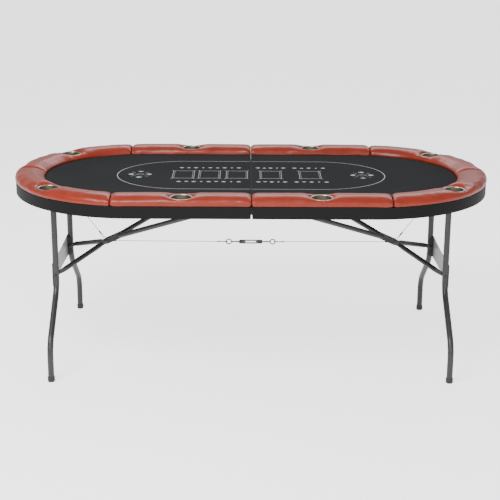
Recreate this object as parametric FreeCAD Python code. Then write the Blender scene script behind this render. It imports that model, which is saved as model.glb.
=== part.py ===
import FreeCAD, Part
import math
import os

from FreeCAD import Vector

# Folding poker table. Millimetres, +Z up, floor at z = 0, X along the table, the dealer's side at -Y.
# Two half tables meet at the seam x = 0. Each half is drawn on the +X side and mirrored for the left.

# --- table top -------------------------------------------------------------------------------
TABLE_LENGTH = 1980.0
TABLE_WIDTH = 1028.0
RAIL_WIDTH = 118.0            # padded rail, outer edge to cloth
RAIL_TOP_Z = 786.0
RAIL_THICKNESS = 33.0         # crown of the cushion above the board
RAIL_OVERHANG = 2.0           # rail's outer edge past the apron
BOARD_THICKNESS = 12.0
APRON_HEIGHT = 48.0
APRON_THICKNESS = 9.0
FOAM_THICKNESS = 5.0
CLOTH_THICKNESS = 1.6
SEAM_GAP = 3.0                # between the two halves
CUSHION_GAP = 2.0
CORNER_SEAM_X = 545.0         # where a straight cushion meets a corner cushion
CENTRE_RAIL_WIDTH = 30.0
CENTRE_RAIL_LENGTH = 860.0    # stops short of the apron
BOARD_SEAM = 0.6              # between the two boards, and between the two centre rails
APRON_RELIEF = (1.5, 24.0)    # lower corner of the apron planed off at the seam, along X and Z
FIT_GAP = 0.2                 # wood to wood

# --- cup holders -----------------------------------------------------------------------------
CUP_FLANGE_RADIUS = 46.8
CUP_RADIUS = 39.5
CUP_WALL = 1.0
CUP_DEPTH = 42.0
CUP_FLANGE_THICKNESS = 1.6
CUP_FLANGE_DROP = 7.0         # flange top below the cushion's crown
CUP_HOLE_CLEARANCE = 0.5
CUP_RING_INSET = 56.0         # cup centre from the rail's outer edge
STRAIGHT_CUP_X = 272.0
CORNER_CUP_ANGLE = 43.7       # degrees from the long axis

# --- legs ------------------------------------------------------------------------------------
TUBE_RADIUS = 12.5
TUBE_WALL = 1.5
LEG_INSET = 182.0             # pivot from the table's end
LEG_PIVOT_DROP = 19.0         # pivot below the board
LEG_TOP_Y = 215.0
FOOT_Y = 440.0
UPPER_BEND_DROP = 396.0       # below the pivot
LOWER_BEND_Z = 152.0
BEND_RADIUS = 100.0
CAP_RADIUS = 14.8
CAP_HEIGHT = 22.0
CAP_FLOOR = 3.0
BOLT_DROP = 340.0             # brace bolt below the pivot
BOLT_RADIUS = 4.0
BOLT_HEAD_RADIUS = 7.0
BOLT_HEAD_HEIGHT = 4.0
NUT_HEIGHT = 4.0
GUSSET_HEIGHT = 98.0
GUSSET_SHEET = 2.0
GUSSET_REACH_Y = 222.0
GUSSET_SAG = 7.0              # how far the long edges curve in
FLANGE_DEPTH = 22.0
BRACKET_Y = 120.0
BRACKET_WIDTH = 24.0
SADDLE_WALL = 4.0
RUNNING_FIT = 0.05

# --- braces ----------------------------------------------------------------------------------
ARM_RADIUS = 10.5
KNEE_INSET = 189.0            # knee from the leg's pivot, along X
KNEE_DROP = 256.0             # knee below the leg's pivot
BRACE_TOP_Y = 330.0
TAB_THICKNESS = 4.0
TAB_RADIUS = 9.0
BLOCK_HALF_WIDTH = 13.0
BLOCK_RADIUS = 12.0
BLOCK_LENGTH = 70.0
SLOT_HALF_WIDTH = 7.0
SLOT_LENGTH = 37.0
EAR_GAP = 0.6
EAR_RADIUS = 8.5
PIN_RADIUS = 4.0
RIVET_RADIUS = 3.0
CLEVIS_SHEET = 3.0
CLEVIS_CLEARANCE = 0.4
SCREW_RADIUS = 1.75
SCREW_HEAD_RADIUS = 4.0
SCREW_HEAD_HEIGHT = 2.2
SCREW_DEPTH = 8.0

# --- tie wires and turnbuckle ----------------------------------------------------------------
WIRE_RADIUS = 1.2
WIRE_GAP = 0.3
TIE_SAG = 2.0                 # turnbuckle below the knee pins
STAY_Y = -2.9                 # the slanted wire passes beside the long one at the knee pin
FERRULE_RADIUS = 2.6
FERRULE_LENGTH = 17.0
STAY_LOOP_LENGTH = 38.0
TIE_LOOP_LENGTH = 24.0
EYE_SPACING = 188.0           # eye centre to eye centre
EYE_RADIUS = 10.5
EYE_WIRE_RADIUS = 2.3
SHANK_RADIUS = 2.9
SHANK_END_X = 22.0
EYE_LOOP_RADIUS = 4.2
TURNBUCKLE_LENGTH = 100.0
TURNBUCKLE_HEIGHT = 16.0
TURNBUCKLE_WIDTH = 10.0
TURNBUCKLE_SLOT = (60.0, 9.0)

# --- centre hinges ---------------------------------------------------------------------------
HINGE_Y = (-380.0, -130.0, 130.0, 380.0)
HINGE_DROP = 5.5              # pin below the apron's lower edge
HINGE_KNUCKLE_RADIUS = 5.0
HINGE_PIN_RADIUS = 2.5
HINGE_LENGTH = 60.0
HINGE_LEAF = 28.0
HINGE_SHEET = 2.0
HINGE_MIDDLE = 23.0           # length of the middle knuckle
KNUCKLE_GAP = 0.5

# --- places that follow ----------------------------------------------------------------------
BOARD_TOP_Z = RAIL_TOP_Z - RAIL_THICKNESS
BOARD_Z = BOARD_TOP_Z - BOARD_THICKNESS
APRON_Z = BOARD_TOP_Z - APRON_HEIGHT
RAIL_RADIUS = TABLE_WIDTH / 2
APRON_RADIUS = RAIL_RADIUS - RAIL_OVERHANG
BOARD_RADIUS = APRON_RADIUS - APRON_THICKNESS - FIT_GAP
CLOTH_RADIUS = RAIL_RADIUS - RAIL_WIDTH
STRAIGHT = TABLE_LENGTH / 2 - RAIL_RADIUS
SEAM_X = SEAM_GAP / 2
BOARD_X = BOARD_SEAM / 2
LEG_X = TABLE_LENGTH / 2 - LEG_INSET
PIVOT_Z = BOARD_Z - LEG_PIVOT_DROP
BOLT_Z = PIVOT_Z - BOLT_DROP
KNEE_X = LEG_X - KNEE_INSET
KNEE_Z = PIVOT_Z - KNEE_DROP
TIE_Z = KNEE_Z - TIE_SAG
LOWER_ARM = math.hypot(KNEE_INSET, BOLT_DROP - KNEE_DROP)
# The brace folds flat when its long arm equals the folded bolt's distance plus the short arm.
FLAT_REACH = LEG_X - BOLT_DROP + LOWER_ARM
BRACE_TOP_X = (FLAT_REACH ** 2 - KNEE_X ** 2 - KNEE_DROP ** 2) / (2 * (FLAT_REACH - KNEE_X))
UPPER_ARM = math.hypot(KNEE_X - BRACE_TOP_X, KNEE_DROP)
UPPER_SLOPE = math.degrees(math.atan2(KNEE_DROP, KNEE_X - BRACE_TOP_X))
LOWER_SLOPE = math.degrees(math.atan2(BOLT_DROP - KNEE_DROP, KNEE_INSET))
CUP_RING = RAIL_RADIUS - CUP_RING_INSET
FLANGE_TOP_Z = RAIL_TOP_Z - CUP_FLANGE_DROP
FLANGE_Z = FLANGE_TOP_Z - CUP_FLANGE_THICKNESS
CUP_FLOOR_Z = FLANGE_TOP_Z - CUP_DEPTH
CORNER_CUP_X = STRAIGHT + CUP_RING * math.cos(math.radians(CORNER_CUP_ANGLE))
CORNER_CUP_Y = CUP_RING * math.sin(math.radians(CORNER_CUP_ANGLE))
HINGE_Z = APRON_Z - HINGE_DROP
EAR_IN = BLOCK_HALF_WIDTH + EAR_GAP
EAR_OUT = EAR_IN + TAB_THICKNESS
FLANGE_Y = LEG_TOP_Y - TUBE_RADIUS - FIT_GAP - GUSSET_SHEET
LOWER_TAB_Y = FLANGE_Y - EAR_GAP - TAB_THICKNESS
SCREW_PITCH = 20.0            # screws each side of a brace bracket's pivot
SADDLE_SCREW_X = 27.0

BIG = 4000.0
X_AXIS, Y_AXIS, Z_AXIS = Vector(1, 0, 0), Vector(0, 1, 0), Vector(0, 0, 1)
ORIGIN = Vector(0, 0, 0)


# --- small helpers ---------------------------------------------------------------------------
def box(x0, x1, y0, y1, z0, z1):
    return Part.makeBox(x1 - x0, y1 - y0, z1 - z0, Vector(x0, y0, z0))


def rod(start, end, radius):
    """Cylinder from one point to another."""
    start, end = Vector(*start), Vector(*end)
    return Part.makeCylinder(radius, (end - start).Length, start, end - start)


def ball(centre, radius):
    return Part.makeSphere(radius, Vector(*centre))


def arm_tube(start, end, radius):
    """Round tube with rounded ends."""
    return rod(start, end, radius).fuse([ball(start, radius), ball(end, radius)])


def across(x, y0, y1, z, radius):
    """Cylinder along Y."""
    return rod((x, y0, z), (x, y1, z), radius)


def mirrored_y(shape):
    return shape.mirror(ORIGIN, Y_AXIS)


def both_sides(shape):
    """A shape and its mirror image across the table's long axis, as one group."""
    return Part.makeCompound([shape, mirrored_y(shape)])


def half_outline(radius, x0, z):
    """Face of one half table: straight sides from x0, then a half round end."""
    a, b = Vector(x0, -radius, z), Vector(STRAIGHT, -radius, z)
    c, d = Vector(STRAIGHT, radius, z), Vector(x0, radius, z)
    edges = [
        Part.LineSegment(a, b).toShape(),
        Part.Arc(b, Vector(STRAIGHT + radius, 0, z), c).toShape(),
        Part.LineSegment(c, d).toShape(),
        Part.LineSegment(d, a).toShape(),
    ]
    return Part.Face(Part.Wire(edges))


def half_slab(radius, x0, z0, z1):
    return half_outline(radius, x0, z0).extrude(Vector(0, 0, z1 - z0))


def tab(length, y0, y1, radius, bore):
    """Flat link end in the XZ plane: round about the origin, running to x = length."""
    plate = across(0, y0, y1, 0, radius).fuse(box(0, length, y0, y1, -radius, radius))
    return plate.cut(across(0, y0 - 1, y1 + 1, 0, bore)) if bore else plate


def turned(shape, angle, x, z):
    """Turn about Y by angle degrees (X towards -Z), then move to (x, z)."""
    shape = shape.copy()
    shape.rotate(ORIGIN, Y_AXIS, angle)
    shape.translate(Vector(x, 0, z))
    return shape


def swept(points, radius, bend):
    """Round bar along a polyline whose corners are arcs of radius bend."""
    points = [Vector(*p) for p in points]
    edges, start = [], points[0]
    for before, corner, after in zip(points, points[1:], points[2:]):
        into, out = (corner - before).normalize(), (after - corner).normalize()
        half = into.getAngle(out) / 2
        back = bend * math.tan(half)
        first, last = corner - into * back, corner + out * back
        centre_way = (out - into).normalize()
        middle = corner + centre_way * (bend / math.cos(half) - bend)
        edges.append(Part.LineSegment(start, first).toShape())
        edges.append(Part.Arc(first, middle, last).toShape())
        start = last
    edges.append(Part.LineSegment(start, points[-1]).toShape())
    ring = Part.Wire(Part.makeCircle(radius, points[0], points[1] - points[0]))
    return Part.Wire(edges).makePipeShell([ring], True, True)


def wire_loop(ferrule, centre, radius, normal):
    """Wire that leaves a ferrule, passes round a pin and comes back, in the plane of normal."""
    ferrule, centre = Vector(*ferrule), Vector(*centre)
    along = (centre - ferrule).normalize()
    side = Vector(*normal).cross(along)
    strand = WIRE_RADIUS + WIRE_GAP / 2
    reach = (centre - ferrule).Length
    slant = math.hypot(reach, strand)
    turn = math.asin(radius / slant) - math.atan2(strand, reach)
    run = math.sqrt(slant ** 2 - radius ** 2)

    def place(a, s):
        return ferrule + along * a + side * s

    ends = []
    for sign in (1, -1):
        foot = place(0, sign * strand)
        touch = place(run * math.cos(turn), sign * (strand + run * math.sin(turn)))
        ends.append((foot, touch))
    path = Part.Wire([
        Part.LineSegment(ends[0][0], ends[0][1]).toShape(),
        Part.Arc(ends[0][1], centre + along * radius, ends[1][1]).toShape(),
        Part.LineSegment(ends[1][1], ends[1][0]).toShape(),
    ])
    ring = Part.Wire(Part.makeCircle(WIRE_RADIUS, ends[0][0], ends[0][1] - ends[0][0]))
    return path.makePipeShell([ring], True, True)


# --- table top -------------------------------------------------------------------------------
def cup_centres():
    """The cup holders of one half, front ones first."""
    return [
        (STRAIGHT_CUP_X, -CUP_RING),
        (CORNER_CUP_X, -CORNER_CUP_Y),
        (CORNER_CUP_X, CORNER_CUP_Y),
        (STRAIGHT_CUP_X, CUP_RING),
    ]


def cup_drills(radius, z0, z1):
    return [Part.makeCylinder(radius, z1 - z0, Vector(x, y, z0)) for x, y in cup_centres()]


def cup_holder(x, y):
    """Drop-in cup: flange ring, side wall and floor."""
    centre = Vector(x, y, 0)

    def disc(radius, z0, z1):
        return Part.makeCylinder(radius, z1 - z0, centre + Vector(0, 0, z0))

    outside = disc(CUP_FLANGE_RADIUS, FLANGE_Z, FLANGE_TOP_Z).fuse(
        disc(CUP_RADIUS, CUP_FLOOR_Z - CUP_WALL, FLANGE_Z)
    )
    return outside.cut(disc(CUP_RADIUS - CUP_WALL, CUP_FLOOR_Z, FLANGE_TOP_Z + 1))


def cushion_ring():
    """The whole padded rail of one half, crowned in section, with its cup holder seats."""
    inner, outer = CLOTH_RADIUS, RAIL_RADIUS
    foot, crown = BOARD_TOP_Z, RAIL_TOP_Z

    def at(radius, z, x=SEAM_X):
        return Vector(x, -radius, z)

    corners = [
        at(inner + 1.0, foot),
        at(outer - 3.0, foot),
        at(outer - 9.0, crown - 7.0),
        at(inner + 9.0, crown - 8.0),
    ]
    profile = Part.Face(Part.Wire([
        Part.LineSegment(corners[0], corners[1]).toShape(),
        Part.Arc(corners[1], at(outer, foot + 13.0), corners[2]).toShape(),
        Part.Arc(corners[2], at((inner + outer) / 2, crown), corners[3]).toShape(),
        Part.Arc(corners[3], at(inner + 0.6, foot + 12.0), corners[0]).toShape(),
    ]))
    front = profile.extrude(Vector(STRAIGHT - SEAM_X, 0, 0))
    start = profile.copy()
    start.translate(Vector(STRAIGHT - SEAM_X, 0, 0))
    bend = start.revolve(Vector(STRAIGHT, 0, 0), Z_AXIS, 180)
    ring = front.fuse([bend, mirrored_y(front)])
    ring = ring.cut(cup_drills(CUP_RADIUS + CUP_HOLE_CLEARANCE, foot - 1, crown + 1))
    return ring.cut(cup_drills(CUP_FLANGE_RADIUS + CUP_HOLE_CLEARANCE, FLANGE_Z, crown + 1))


def cushions():
    """The ring parted at the corner seams and at the end's middle."""
    ring = cushion_ring()
    gap = CUSHION_GAP / 2
    straight = ring.common(box(0, CORNER_SEAM_X - gap, -BIG, 0, 0, BIG))
    corner = ring.common(box(CORNER_SEAM_X + gap, BIG, -BIG, -gap, 0, BIG))
    return {
        "front_cushion": straight,
        "front_corner_cushion": corner,
        "rear_corner_cushion": mirrored_y(corner),
        "rear_cushion": mirrored_y(straight),
    }


def playing_board():
    board = half_slab(BOARD_RADIUS, BOARD_X, BOARD_Z, BOARD_TOP_Z)
    board = board.cut(cup_drills(CUP_RADIUS + CUP_HOLE_CLEARANCE, BOARD_Z - 1, BOARD_TOP_Z + 1))
    return board.cut([screw_hole(x, y) for x, y in screw_places()])


def apron():
    """Bent plywood band round the board's edge."""
    band = half_slab(APRON_RADIUS, SEAM_X, APRON_Z, BOARD_TOP_Z)
    band = band.cut(half_slab(APRON_RADIUS - APRON_THICKNESS, SEAM_X - 1, APRON_Z - 1, BOARD_TOP_Z + 1))
    x, z = APRON_RELIEF
    relief = Part.Face(Part.makePolygon([
        Vector(SEAM_X - 1, -BIG, APRON_Z - 1),
        Vector(SEAM_X + x, -BIG, APRON_Z - 1),
        Vector(SEAM_X + x, -BIG, APRON_Z),
        Vector(SEAM_X, -BIG, APRON_Z + z),
        Vector(SEAM_X - 1, -BIG, APRON_Z + z),
        Vector(SEAM_X - 1, -BIG, APRON_Z - 1),
    ]))
    return band.cut(relief.extrude(Vector(0, 2 * BIG, 0)))


def table_top():
    rail_y = CENTRE_RAIL_LENGTH / 2
    rail_end = BOARD_X + CENTRE_RAIL_WIDTH
    parts = {
        "playing_board": playing_board(),
        "apron": apron(),
        "centre_rail": box(BOARD_X, rail_end, -rail_y, rail_y, APRON_Z, BOARD_Z),
        "foam_underlay": half_slab(CLOTH_RADIUS - 0.5, SEAM_X, BOARD_TOP_Z, BOARD_TOP_Z + FOAM_THICKNESS),
        "speed_cloth": half_slab(
            CLOTH_RADIUS - 0.5,
            SEAM_X,
            BOARD_TOP_Z + FOAM_THICKNESS,
            BOARD_TOP_Z + FOAM_THICKNESS + CLOTH_THICKNESS,
        ),
        "cup_holders": Part.makeCompound([cup_holder(x, y) for x, y in cup_centres()]),
    }
    parts.update(cushions())
    return parts


# --- brackets and screws under the board ----------------------------------------------------
def screw_places():
    saddles = [(LEG_X + s * SADDLE_SCREW_X, y) for s in (-1, 1) for y in (-BRACKET_Y, BRACKET_Y)]
    clevises = [(BRACE_TOP_X + s * SCREW_PITCH, y) for s in (-1, 1) for y in (-BRACE_TOP_Y, BRACE_TOP_Y)]
    return saddles + clevises


def screw_hole(x, y):
    low = BOARD_Z - CLEVIS_SHEET
    return Part.makeCylinder(SCREW_RADIUS + RUNNING_FIT, SCREW_DEPTH + 2, Vector(x, y, low - 1))


def bracket_screws():
    """Pan head screws through the bracket plates into the board."""
    screws = []
    for x, y in screw_places():
        seat = BOARD_Z - CLEVIS_SHEET
        head = Part.makeCylinder(SCREW_HEAD_RADIUS, SCREW_HEAD_HEIGHT, Vector(x, y, seat - SCREW_HEAD_HEIGHT))
        shank = Part.makeCylinder(SCREW_RADIUS, SCREW_DEPTH, Vector(x, y, seat))
        screws.append(head.fuse(shank))
    return Part.makeCompound(screws)


def leg_saddle():
    """Block that holds the crossbar against the board, one of two."""
    radius = TUBE_RADIUS + SADDLE_WALL
    y0, y1 = BRACKET_Y - BRACKET_WIDTH / 2, BRACKET_Y + BRACKET_WIDTH / 2
    saddle = box(LEG_X - radius, LEG_X + radius, y0, y1, PIVOT_Z, BOARD_Z)
    saddle = saddle.fuse([
        across(LEG_X, y0, y1, PIVOT_Z, radius),
        box(LEG_X - 34.0, LEG_X + 34.0, y0, y1, BOARD_Z - CLEVIS_SHEET, BOARD_Z),
    ])
    saddle = saddle.cut(across(LEG_X, y0 - 1, y1 + 1, PIVOT_Z, TUBE_RADIUS + RUNNING_FIT))
    return saddle.cut([screw_hole(LEG_X + s * SADDLE_SCREW_X, BRACKET_Y) for s in (-1, 1)])


def clevis_faces():
    """Distances from the long axis of a clevis's four plate faces, inside first."""
    inner = TAB_THICKNESS / 2 + CLEVIS_CLEARANCE
    return (
        BRACE_TOP_Y - inner - CLEVIS_SHEET,
        BRACE_TOP_Y - inner,
        BRACE_TOP_Y + inner,
        BRACE_TOP_Y + inner + CLEVIS_SHEET,
    )


def brace_clevis():
    """U bracket under the board that holds one upper arm's end."""
    a, b, c, d = clevis_faces()
    x = BRACE_TOP_X
    ear_radius = TAB_RADIUS + 1.0
    plate = box(x - 26.0, x + 26.0, a - 4.0, d + 4.0, BOARD_Z - CLEVIS_SHEET, BOARD_Z)
    ears = []
    for y0, y1 in ((a, b), (c, d)):
        ears.append(across(x, y0, y1, PIVOT_Z, ear_radius))
        ears.append(box(x - ear_radius, x + ear_radius, y0, y1, PIVOT_Z, BOARD_Z))
    bracket = plate.fuse(ears).cut(across(x, a - 1, d + 1, PIVOT_Z, RIVET_RADIUS + RUNNING_FIT))
    return bracket.cut([screw_hole(x + s * SCREW_PITCH, BRACE_TOP_Y) for s in (-1, 1)])


def brace_rivet():
    a, d = clevis_faces()[0], clevis_faces()[3]
    head = 2.0
    return across(BRACE_TOP_X, a, d, PIVOT_Z, RIVET_RADIUS).fuse([
        across(BRACE_TOP_X, a - head, a, PIVOT_Z, RIVET_RADIUS + 2.0),
        across(BRACE_TOP_X, d, d + head, PIVOT_Z, RIVET_RADIUS + 2.0),
    ])


# --- legs ------------------------------------------------------------------------------------
def leg_route():
    return [
        (LEG_X, LEG_TOP_Y, PIVOT_Z + TUBE_RADIUS),
        (LEG_X, LEG_TOP_Y, PIVOT_Z - UPPER_BEND_DROP),
        (LEG_X, FOOT_Y, LOWER_BEND_Z),
        (LEG_X, FOOT_Y, CAP_FLOOR),
    ]


def leg_tube():
    """Bent tube with a rounded top, drilled for the brace bolt."""
    outside = swept(leg_route(), TUBE_RADIUS, BEND_RADIUS)
    inside = swept(leg_route(), TUBE_RADIUS - TUBE_WALL, BEND_RADIUS)
    tube = outside.cut(inside)
    crown = box(-BIG, BIG, LEG_TOP_Y - 50, LEG_TOP_Y + 50, PIVOT_Z, BIG).cut(
        across(LEG_X, LEG_TOP_Y - 60, LEG_TOP_Y + 60, PIVOT_Z, TUBE_RADIUS)
    )
    tube = tube.cut(crown)
    return tube.cut(across(LEG_X, LEG_TOP_Y - 40, LEG_TOP_Y + 40, BOLT_Z, BOLT_RADIUS + RUNNING_FIT))


def crossbar():
    """Pivot bar between the two leg tubes, its ends coped to them."""
    bar = across(LEG_X, -LEG_TOP_Y, LEG_TOP_Y, PIVOT_Z, TUBE_RADIUS)
    bar = bar.cut(across(LEG_X, -LEG_TOP_Y, LEG_TOP_Y, PIVOT_Z, TUBE_RADIUS - TUBE_WALL))
    copes = [rod((LEG_X, y, 0), (LEG_X, y, BIG), TUBE_RADIUS) for y in (-LEG_TOP_Y, LEG_TOP_Y)]
    return bar.cut(copes)


def gusset_plate():
    """Sheet across the outer faces of both tubes, flanged inwards beside each tube."""
    x0 = LEG_X + TUBE_RADIUS + FIT_GAP
    x1 = x0 + GUSSET_SHEET
    top, bottom = BOLT_Z + GUSSET_HEIGHT / 2, BOLT_Z - GUSSET_HEIGHT / 2
    ends = GUSSET_REACH_Y

    def at(y, z):
        return Vector(x0, y, z)

    sheet = Part.Face(Part.Wire([
        Part.Arc(at(-ends, top), at(0, top - GUSSET_SAG), at(ends, top)).toShape(),
        Part.LineSegment(at(ends, top), at(ends, bottom)).toShape(),
        Part.Arc(at(ends, bottom), at(0, bottom + GUSSET_SAG), at(-ends, bottom)).toShape(),
        Part.LineSegment(at(-ends, bottom), at(-ends, top)).toShape(),
    ])).extrude(Vector(GUSSET_SHEET, 0, 0))
    rounded = (GUSSET_HEIGHT - 10.0) / 2
    disc = across(x1, FLANGE_Y, FLANGE_Y + GUSSET_SHEET, BOLT_Z, rounded)
    flange = disc.common(box(x0 - FLANGE_DEPTH, x1, 0, BIG, 0, BIG))
    flange = flange.cut(across(LEG_X, 0, BIG, BOLT_Z, BOLT_RADIUS + RUNNING_FIT))
    return sheet.fuse([flange, mirrored_y(flange)])


def brace_bolt():
    """Bolt through a leg tube, the gusset's flange and the brace's tab, nut innermost."""
    inside = LOWER_TAB_Y - EAR_GAP - NUT_HEIGHT
    outside = LEG_TOP_Y + TUBE_RADIUS
    return across(LEG_X, inside, outside, BOLT_Z, BOLT_RADIUS).fuse([
        across(LEG_X, inside, inside + NUT_HEIGHT, BOLT_Z, BOLT_HEAD_RADIUS),
        across(LEG_X, outside, outside + BOLT_HEAD_HEIGHT, BOLT_Z, BOLT_HEAD_RADIUS),
    ])


def foot_cap():
    """Plastic cap on a leg's end."""
    cap = rod((LEG_X, FOOT_Y, 0), (LEG_X, FOOT_Y, CAP_HEIGHT), CAP_RADIUS)
    return cap.cut(rod((LEG_X, FOOT_Y, CAP_FLOOR), (LEG_X, FOOT_Y, CAP_HEIGHT + 1), TUBE_RADIUS))


def leg_frame():
    rear = leg_tube()
    return {
        "front_leg_tube": mirrored_y(rear),
        "rear_leg_tube": rear,
        "leg_crossbar": crossbar(),
        "gusset_plate": gusset_plate(),
        "brace_bolts": both_sides(brace_bolt()),
        "foot_caps": both_sides(foot_cap()),
    }


# --- braces, drawn along +X from the knee and then turned into place -------------------------
def upper_brace():
    """Knee block and the two long arms that spread from it to the board."""
    block = tab(BLOCK_LENGTH, -BLOCK_HALF_WIDTH, BLOCK_HALF_WIDTH, BLOCK_RADIUS, PIN_RADIUS)
    block = block.cut(box(-BIG, SLOT_LENGTH, -SLOT_HALF_WIDTH, SLOT_HALF_WIDTH, -BIG, BIG))
    start = (BLOCK_LENGTH - 2.0, BLOCK_HALF_WIDTH - 2.0, 0)
    end = (UPPER_ARM - 28.0, BRACE_TOP_Y, 0)
    half_tab = TAB_THICKNESS / 2
    tip = tab(26.0, -half_tab, half_tab, TAB_RADIUS, RIVET_RADIUS + RUNNING_FIT)
    tip.rotate(ORIGIN, Z_AXIS, 180)
    tip.translate(Vector(UPPER_ARM, BRACE_TOP_Y, 0))
    arm = arm_tube(start, end, ARM_RADIUS).fuse(tip)
    arm = arm.cut(tab(BLOCK_LENGTH, -BLOCK_HALF_WIDTH, BLOCK_HALF_WIDTH, BLOCK_RADIUS, 0))
    arm = arm.cut(box(-BIG, BIG, -BIG, FIT_GAP, -BIG, BIG))
    pin = across(0, -BLOCK_HALF_WIDTH, BLOCK_HALF_WIDTH, 0, PIN_RADIUS)
    turn = 180 + UPPER_SLOPE
    return {
        "knee_block": turned(block, turn, KNEE_X, KNEE_Z),
        "upper_brace_arms": turned(both_sides(arm), turn, KNEE_X, KNEE_Z),
        "knee_pin": turned(pin, turn, KNEE_X, KNEE_Z),
    }


def lower_brace():
    """The two short arms from the knee to the leg tubes, with a boss at each knee ear."""
    ear = tab(32.0, EAR_IN, EAR_OUT, EAR_RADIUS, 0)
    boss = across(0, EAR_OUT, EAR_OUT + 3.0, 0, PIN_RADIUS + 2.0)
    bend = rod((16.0, EAR_OUT + 1.0, 0), (32.0, EAR_OUT + 10.0, 0), ARM_RADIUS / 2)
    start = (32.0, EAR_OUT + 10.0, 0)
    end = (LOWER_ARM - 26.0, FLANGE_Y - ARM_RADIUS - 2 * EAR_GAP, 0)
    tip = tab(26.0, LOWER_TAB_Y, LOWER_TAB_Y + TAB_THICKNESS, TAB_RADIUS, BOLT_RADIUS + RUNNING_FIT)
    tip = tip.mirror(ORIGIN, X_AXIS)
    tip.translate(Vector(LOWER_ARM, 0, 0))
    arm = arm_tube(start, end, ARM_RADIUS).fuse([bend, ear, boss, tip])
    return {"lower_brace_arms": turned(both_sides(arm), LOWER_SLOPE, KNEE_X, KNEE_Z)}


# --- wires -----------------------------------------------------------------------------------
def along(start, end, distance):
    """The point that far from start towards end, as (x, y, z)."""
    a, b = Vector(*start), Vector(*end)
    p = a + (b - a).normalize() * distance
    return (p.x, p.y, p.z)


def ferrule(start, end):
    """Crimped sleeve that closes a loop."""
    return rod(start, end, FERRULE_RADIUS)


def wires():
    """Long tie wire to the turnbuckle and slanted stay wire to the crossbar, with their loops."""
    pin_loop = PIN_RADIUS + WIRE_GAP + WIRE_RADIUS
    bar_loop = TUBE_RADIUS + WIRE_GAP + WIRE_RADIUS
    knee_low, knee_side = (KNEE_X, 0, KNEE_Z), (KNEE_X, STAY_Y, KNEE_Z)
    bar = (LEG_X, STAY_Y, PIVOT_Z)
    eye_x = EYE_SPACING / 2 + EYE_RADIUS - EYE_WIRE_RADIUS
    eye = (eye_x, 0, TIE_Z)
    loop_centre = (eye_x + EYE_LOOP_RADIUS - WIRE_RADIUS - WIRE_GAP, 0, TIE_Z)

    tie_out = along(knee_low, eye, TIE_LOOP_LENGTH)
    tie_out_end = along(tie_out, eye, FERRULE_LENGTH)
    tie_in = along(loop_centre, knee_low, TIE_LOOP_LENGTH)
    tie_in_end = along(tie_in, knee_low, FERRULE_LENGTH)
    stay_low = along(knee_side, bar, STAY_LOOP_LENGTH)
    stay_low_end = along(stay_low, bar, FERRULE_LENGTH)
    stay_top = along(bar, knee_side, STAY_LOOP_LENGTH)
    stay_top_end = along(stay_top, knee_side, FERRULE_LENGTH)

    fittings = [
        ferrule(tie_out, tie_out_end),
        wire_loop(tie_out, knee_low, pin_loop, (0, 1, 0)),
        ferrule(tie_in, tie_in_end),
        wire_loop(tie_in, loop_centre, EYE_LOOP_RADIUS, (0, 0, 1)),
        ferrule(stay_low, stay_low_end),
        wire_loop(stay_low, knee_side, pin_loop, (0, 1, 0)),
        ferrule(stay_top, stay_top_end),
        wire_loop(stay_top, bar, bar_loop, (0, 1, 0)),
    ]
    return {
        "tie_wire": rod(tie_in_end, tie_out_end, WIRE_RADIUS),
        "stay_wire": rod(stay_low_end, stay_top_end, WIRE_RADIUS),
        "wire_fittings": Part.makeCompound(fittings),
    }


def eye_bolt():
    """Threaded eye of the turnbuckle, on the +X side."""
    centre = Vector(EYE_SPACING / 2, 0, TIE_Z)
    ring = Part.makeTorus(EYE_RADIUS, EYE_WIRE_RADIUS, centre, Y_AXIS)
    shank = rod((SHANK_END_X, 0, TIE_Z), (centre.x - EYE_RADIUS, 0, TIE_Z), SHANK_RADIUS)
    return ring.fuse(shank)


def turnbuckle_body():
    """Open frame that draws the two eye bolts together."""
    half = TURNBUCKLE_LENGTH / 2
    wide, high = TURNBUCKLE_WIDTH / 2, TURNBUCKLE_HEIGHT / 2
    slot_half, slot_high = TURNBUCKLE_SLOT[0] / 2, TURNBUCKLE_SLOT[1] / 2
    body = box(-half, half, -wide, wide, TIE_Z - high, TIE_Z + high)
    body = body.common(rod((-half, 0, TIE_Z), (half, 0, TIE_Z), high + 0.4))
    slot = box(-slot_half, slot_half, -BIG, BIG, TIE_Z - slot_high, TIE_Z + slot_high)
    bore = rod((-half - 1, 0, TIE_Z), (half + 1, 0, TIE_Z), SHANK_RADIUS + RUNNING_FIT)
    return body.cut([slot, bore])


# --- centre hinges ---------------------------------------------------------------------------
def hinge_leaf(y, middle):
    """One leaf on the +X side: the middle knuckle, or the two outer ones."""
    a, b = y - HINGE_LENGTH / 2, y + HINGE_LENGTH / 2
    m, n = y - HINGE_MIDDLE / 2, y + HINGE_MIDDLE / 2
    spans = [(m, n)] if middle else [(a, m - KNUCKLE_GAP), (n + KNUCKLE_GAP, b)]
    start = HINGE_KNUCKLE_RADIUS + KNUCKLE_GAP
    leaf = box(start, HINGE_LEAF, a, b, APRON_Z - HINGE_SHEET, APRON_Z)
    for y0, y1 in spans:
        leaf = leaf.fuse([
            across(0, y0, y1, HINGE_Z, HINGE_KNUCKLE_RADIUS),
            box(SEAM_X, start, y0, y1, APRON_Z - HINGE_SHEET, APRON_Z),
        ])
    bore = HINGE_PIN_RADIUS + (RUNNING_FIT if middle else 0)
    return leaf.cut(across(0, a - 1, b + 1, HINGE_Z, bore))


def hinge_pin(y):
    half = HINGE_LENGTH / 2
    return across(0, y - half, y + half, HINGE_Z, HINGE_PIN_RADIUS)


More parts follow.
